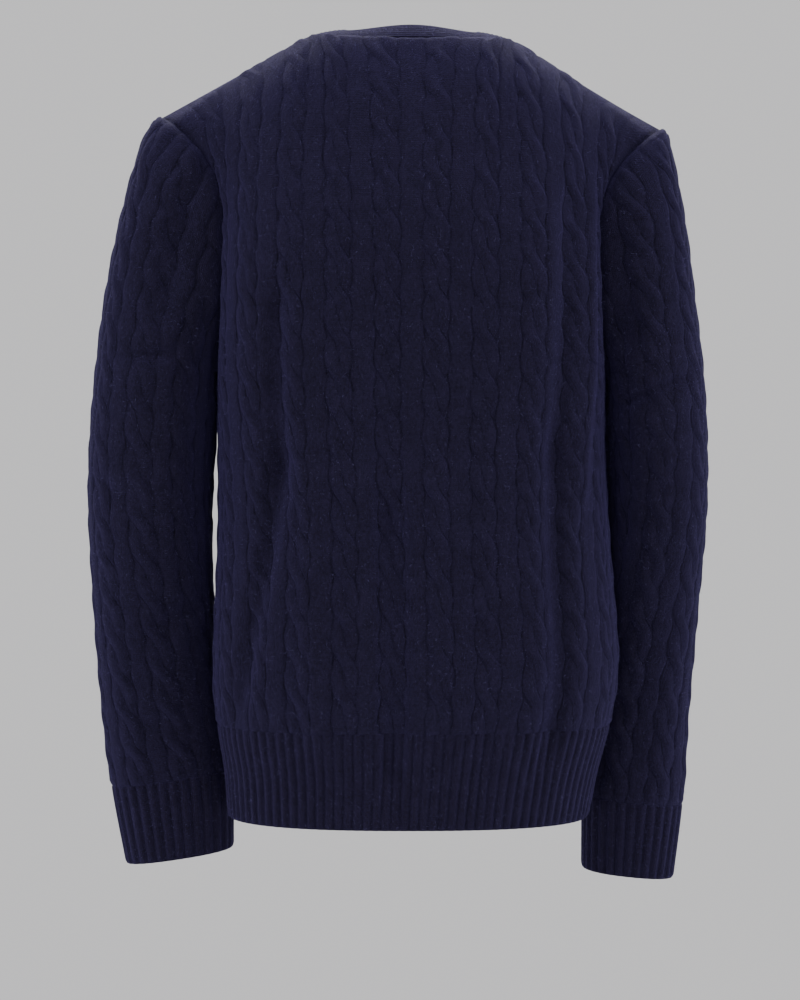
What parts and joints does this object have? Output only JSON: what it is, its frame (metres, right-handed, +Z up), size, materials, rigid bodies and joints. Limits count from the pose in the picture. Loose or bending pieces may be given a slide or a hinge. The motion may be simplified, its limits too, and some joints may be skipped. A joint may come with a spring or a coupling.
{
  "type": "cable knit cardigan",
  "caption": "Buttoned cable knit cardigan in its hollow worn form, with a V neck, a ribbed hem and cuffs, a button band and long sleeves hanging at its sides.",
  "frame": {"origin": "on the garment's centre line between the shoulders, level with the two neck points, where the wearer holds it up", "axes": "+Z up, -Y towards the buttoned front, +Y towards the back, +X towards the wearer's left"},
  "size_m": [0.5257, 0.2525, 0.7242],
  "materials": {
    "cable_knit": "matte navy wool",
    "rib_knit": "matte navy wool rib",
    "button": "satin"
  },
  "bodies": {
    "root": {"back": "cable_knit", "front_left": "cable_knit", "front_right": "cable_knit", "sleeve_left": "cable_knit", "sleeve_right": "cable_knit", "hem_back": "rib_knit", "hem_left": "rib_knit", "hem_right": "rib_knit", "cuff_left": "rib_knit", "cuff_right": "rib_knit", "front_band": "rib_knit", "button_1": "button", "button_2": "button", "button_3": "button", "button_4": "button", "button_5": "button", "button_6": "button"}
  },
  "joints": []
}
